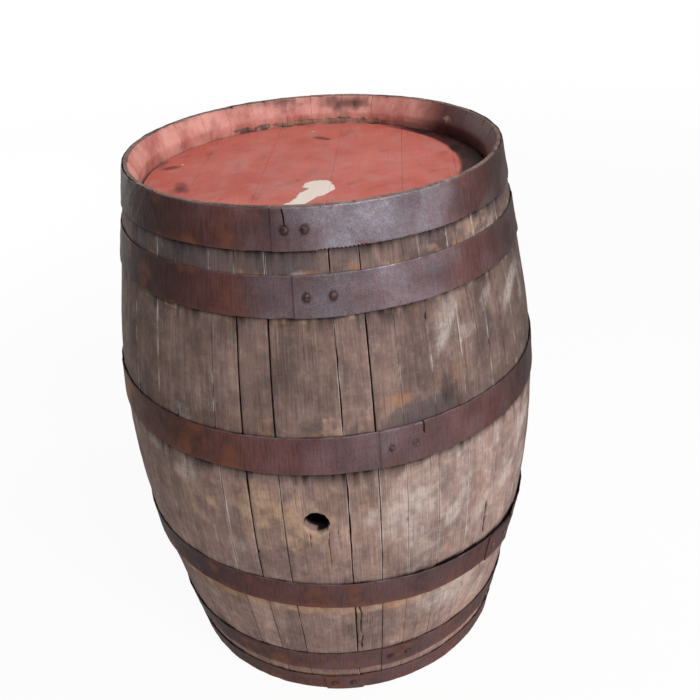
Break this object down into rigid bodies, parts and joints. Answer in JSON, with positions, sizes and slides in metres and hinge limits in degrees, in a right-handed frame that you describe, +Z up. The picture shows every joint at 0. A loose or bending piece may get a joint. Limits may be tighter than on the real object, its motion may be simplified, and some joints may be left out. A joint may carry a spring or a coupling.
{
  "type": "wooden stave cask",
  "caption": "Weathered wooden stave cask standing on end, with rusty riveted steel hoops, recessed painted heads and an open bung hole.",
  "frame": {"origin": "centre of the circle of the lower stave ends, on the floor", "axes": "+Z up along the cask's axis, -Y out through the bung hole, +X to the right when the bung hole is seen from outside"},
  "size_m": [0.7044, 0.7044, 0.9],
  "materials": {
    "stave_oak": "bare oak, weathered grey, rust-stained beside the hoops",
    "painted_oak": "worn brick-red paint on oak",
    "dowel_oak": "bare oak",
    "rusty_steel": "dark brown rust, worn to a dull sheen",
    "rivet_steel": "dark rust"
  },
  "bodies": {
    "root": {"bung_stave": "stave_oak", "stave_01": "stave_oak", "stave_02": "stave_oak", "stave_03": "stave_oak", "stave_04": "stave_oak", "stave_05": "stave_oak", "stave_06": "stave_oak", "stave_07": "stave_oak", "stave_08": "stave_oak", "stave_09": "stave_oak", "stave_10": "stave_oak", "stave_11": "stave_oak", "stave_12": "stave_oak", "stave_13": "stave_oak", "stave_14": "stave_oak", "stave_15": "stave_oak", "stave_16": "stave_oak", "stave_17": "stave_oak", "stave_18": "stave_oak", "stave_19": "stave_oak", "stave_20": "stave_oak", "stave_21": "stave_oak", "stave_22": "stave_oak", "stave_23": "stave_oak", "stave_24": "stave_oak", "stave_25": "stave_oak", "stave_26": "stave_oak", "stave_27": "stave_oak", "stave_28": "stave_oak", "stave_29": "stave_oak", "stave_30": "stave_oak", "stave_31": "stave_oak", "stave_32": "stave_oak", "stave_33": "stave_oak", "top_head_board_1": "painted_oak", "top_head_board_2": "painted_oak", "top_head_board_3": "painted_oak", "top_head_board_4": "painted_oak", "top_head_board_5": "painted_oak", "top_head_board_6": "painted_oak", "bottom_head_board_1": "painted_oak", "bottom_head_board_2": "painted_oak", "bottom_head_board_3": "painted_oak", "bottom_head_board_4": "painted_oak", "bottom_head_board_5": "painted_oak", "bottom_head_board_6": "painted_oak", "top_head_dowels": "dowel_oak", "bottom_head_dowels": "dowel_oak", "top_chime_hoop": "rusty_steel", "top_quarter_hoop": "rusty_steel", "top_bilge_hoop": "rusty_steel", "low_bilge_hoop": "rusty_steel", "low_quarter_hoop": "rusty_steel", "low_chime_hoop": "rusty_steel", "hoop_rivets": "rivet_steel"}
  },
  "joints": []
}
